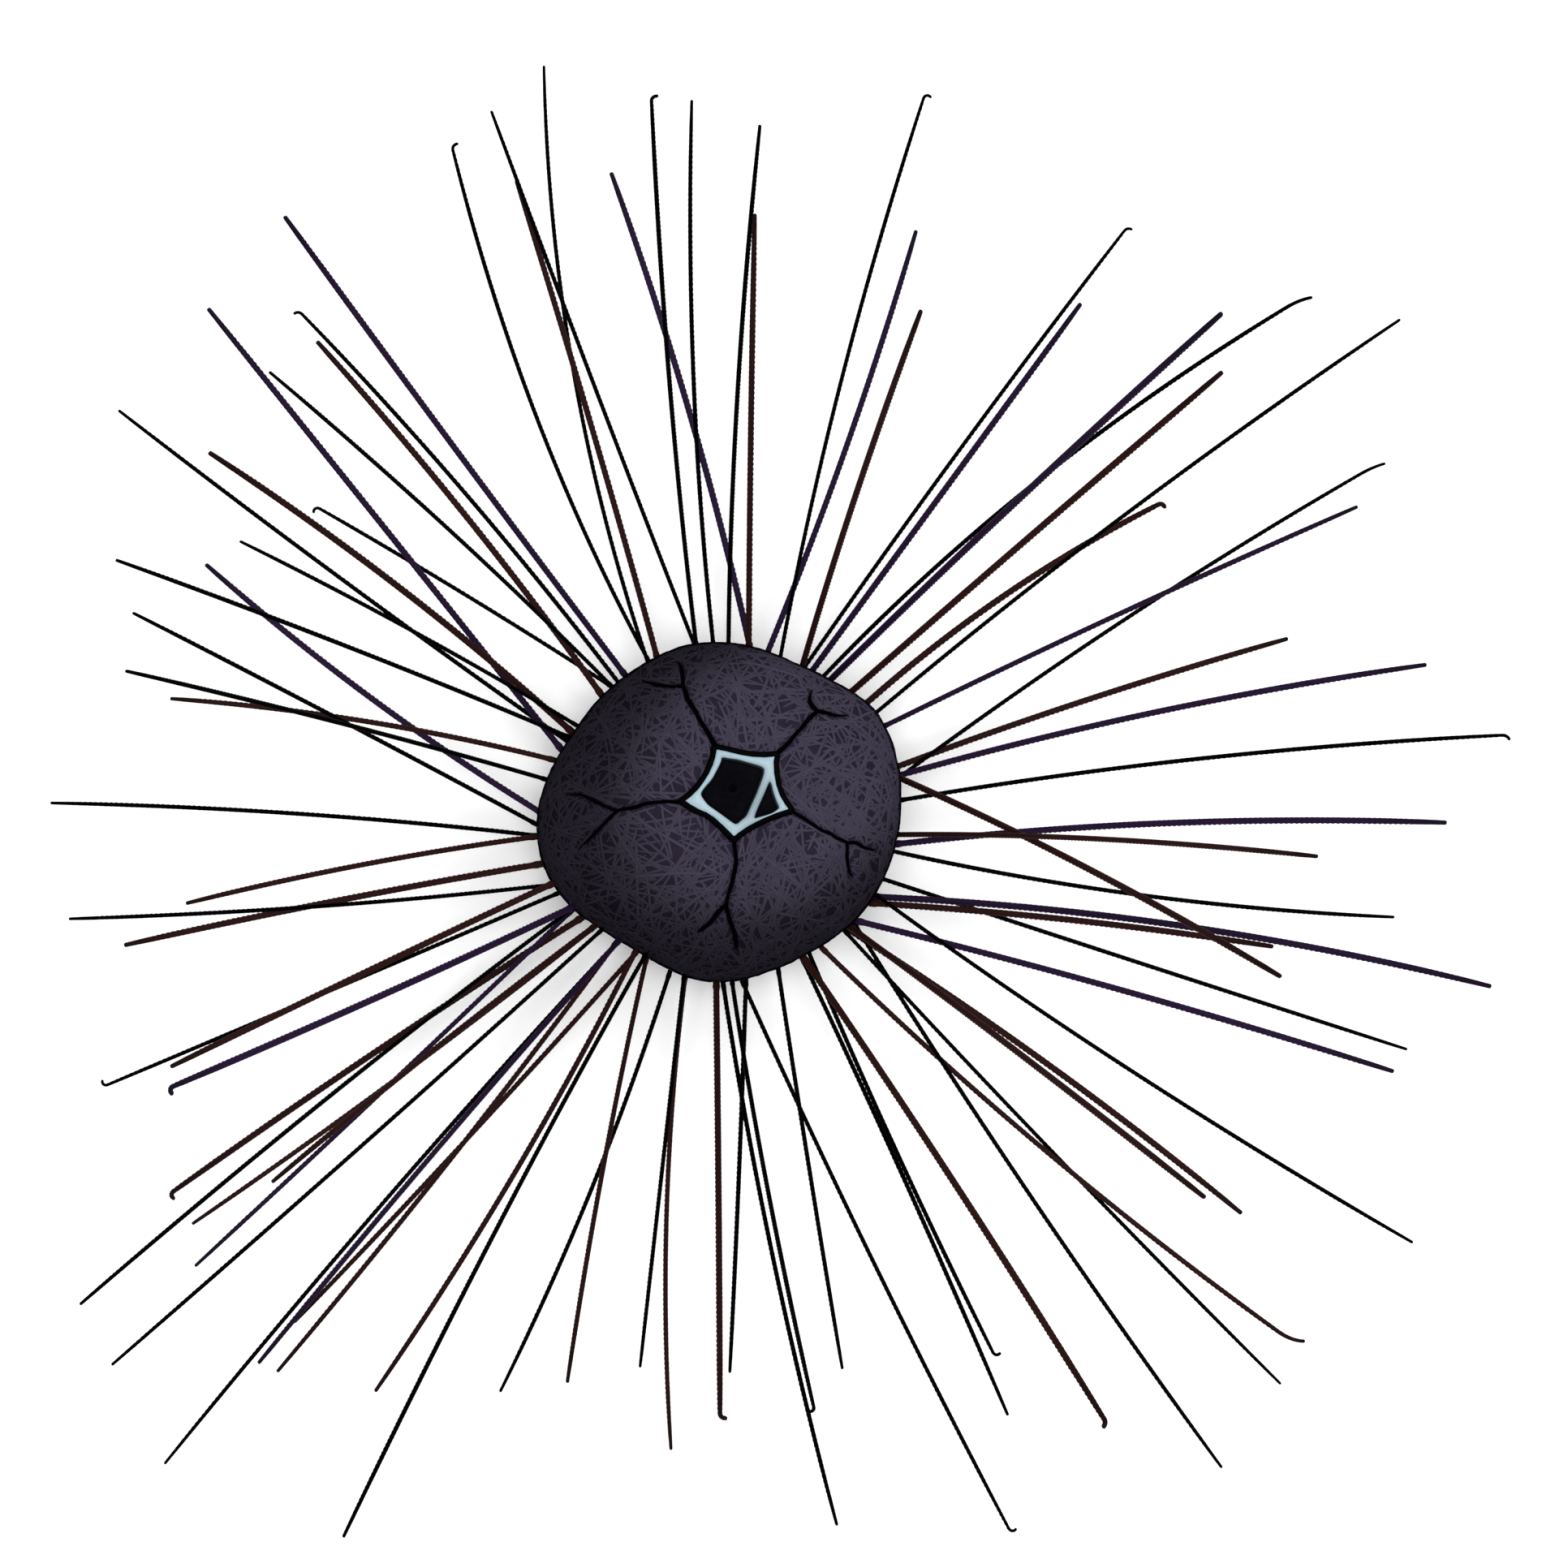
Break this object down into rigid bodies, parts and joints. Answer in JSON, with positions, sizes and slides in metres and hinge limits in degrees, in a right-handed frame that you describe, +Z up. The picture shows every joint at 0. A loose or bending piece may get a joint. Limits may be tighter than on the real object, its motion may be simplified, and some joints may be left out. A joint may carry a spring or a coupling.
{
  "type": "long-spined sea urchin",
  "caption": "Life-size still model of a long-spined sea urchin on its oral spines: lobed shell in sectors, long tapered spines, pale five-pointed star on top, mouth with teeth below.",
  "frame": {"origin": "middle of the whole animal's box, spines included, at the level of the floor it rests on", "axes": "+Z up from mouth to star, +Y towards the top of the picture, +X towards the right of the picture"},
  "size_m": [0.2924, 0.2928, 0.1606],
  "materials": {
    "wide_sectors": "damp skin over shell, dark purple-grey",
    "narrow_sectors": "damp skin over shell, darker",
    "star": "pale blue, smooth",
    "dark_membrane": "near-black, satin",
    "mouth_disc": "leathery, dark",
    "teeth": "chalky white, smooth"
  },
  "bodies": {
    "root": {"interambulacrum_1": "wide_sectors", "interambulacrum_2": "wide_sectors", "interambulacrum_3": "wide_sectors", "interambulacrum_4": "wide_sectors", "interambulacrum_5": "wide_sectors", "ambulacrum_1": "narrow_sectors", "ambulacrum_2": "narrow_sectors", "ambulacrum_3": "narrow_sectors", "ambulacrum_4": "narrow_sectors", "ambulacrum_5": "narrow_sectors", "apical_star": "star", "star_bar": "star", "periproct": "dark_membrane", "periproct_corner": "dark_membrane", "peristome": "mouth_disc", "tooth_1": "teeth", "tooth_2": "teeth", "tooth_3": "teeth", "tooth_4": "teeth", "tooth_5": "teeth"}
  },
  "joints": []
}
